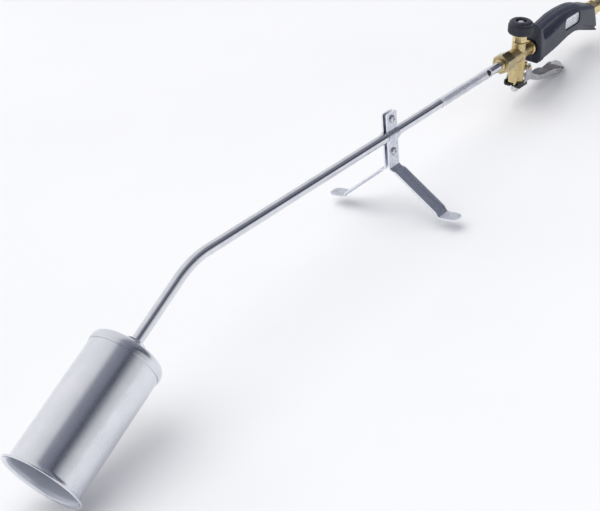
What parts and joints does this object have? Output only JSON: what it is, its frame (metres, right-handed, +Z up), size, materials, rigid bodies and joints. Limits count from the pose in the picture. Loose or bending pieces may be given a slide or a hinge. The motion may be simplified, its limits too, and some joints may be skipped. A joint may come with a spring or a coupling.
{
  "type": "propane torch",
  "caption": "Bell-burner propane torch on a bent lance with a clamp-on stand, brass valve, regulating knob, squeeze lever and moulded grip.",
  "frame": {"origin": "bottom centre of the torch as it lies on a flat floor on the burner rim and the lever end", "axes": "+X from the burner towards the hose connector, +Y to the far side of the torch, +Z up"},
  "size_m": [0.9108, 0.1412, 0.1115],
  "materials": {
    "brass": "satin, lightly tarnished",
    "brass_nut": "machined, bright edges",
    "burner_steel": "satin rolled sheet",
    "fastener_zinc": "bright zinc",
    "fork_black": "black moulded",
    "grip_plastic": "fine moulded grain",
    "knob_plastic": "moulded, ribbed",
    "label_film": null,
    "lance_zinc": "bright zinc-plated drawn tube with faint draw lines",
    "lever_steel": "satin cast",
    "plate_aluminium": "satin anodised",
    "seal_rubber": "matte",
    "spring_steel": "bright wire",
    "stand_zinc": "zinc-plated strip"
  },
  "bodies": {
    "lance": {"lance_tube": "lance_zinc", "lance_label": "label_film", "lance_nipple": "brass", "burner_hub": "burner_steel", "burner_cap": "burner_steel", "burner_bell": "burner_steel", "hub_locknut": "fastener_zinc", "jet_holder": "brass", "jet": "brass", "flame_disc": "burner_steel"},
    "stand": {"stand_leg_near": "stand_zinc", "stand_leg_far": "stand_zinc", "clamp_screws": "fastener_zinc", "clamp_nuts": "fastener_zinc"},
    "handle": {"union_nut": "brass_nut", "valve_body": "brass", "gland_nut": "brass", "chamber_plug": "brass", "stem_seal": "seal_rubber", "return_spring": "spring_steel", "lever_pin": "brass", "grip_shell_near": "grip_plastic", "grip_shell_far": "grip_plastic", "shell_screws": "fastener_zinc", "grip_plate": "plate_aluminium", "grip_locknut": "brass_nut", "inlet_tube": "brass", "hose_connector": "brass_nut"},
    "needle": {"needle": "brass"},
    "knob": {"spindle": "brass", "spindle_seal": "seal_rubber", "knob": "knob_plastic", "knob_screw": "fastener_zinc"},
    "lever": {"lever": "lever_steel", "lever_shoe": "fork_black"},
    "stem": {"trigger_stem": "fastener_zinc", "seat_disc": "seal_rubber", "stem_nut": "fastener_zinc"}
  },
  "joints": [
    {"name": "lance_swivel", "type": "hinge", "parent": "lance", "child": "handle", "pos_m": [0.24421, 0, 0.06132], "axis": [0.9956, 0, -0.0941], "range_deg": [-180, 180]},
    {"name": "stand_slide", "type": "slide", "parent": "lance", "child": "stand", "axis": [0.9956, 0, -0.0941], "range_m": [-0.2, 0.075]},
    {"name": "needle_lift", "type": "slide", "parent": "handle", "child": "needle", "axis": [0.0934, -0.1219, 0.9881], "range_m": [0, 0.002]},
    {"name": "knob_turn", "type": "hinge", "parent": "handle", "child": "knob", "pos_m": [0.2729, -0.00366, 0.08852], "axis": [0.0934, -0.1219, 0.9881], "range_deg": [0, 720]},
    {"name": "lever_squeeze", "type": "hinge", "parent": "handle", "child": "lever", "pos_m": [0.27671, 0.00177, 0.0438], "axis": [-0.0115, -0.9925, -0.1213], "range_deg": [0, 12], "stiffness_Nm_per_rad": 3, "springref_deg": -11.46},
    {"name": "stem_pull", "type": "slide", "parent": "handle", "child": "stem", "axis": [-0.0934, 0.1219, -0.9881], "range_m": [0, 0.0025], "deforming": ["return_spring"]}
  ],
  "couplings": [
    {"joint": "needle_lift", "follows": "knob_turn", "m_per_rad": 0.000159},
    {"joint": "stem_pull", "follows": "lever_squeeze", "m_per_rad": 0.0115}
  ]
}
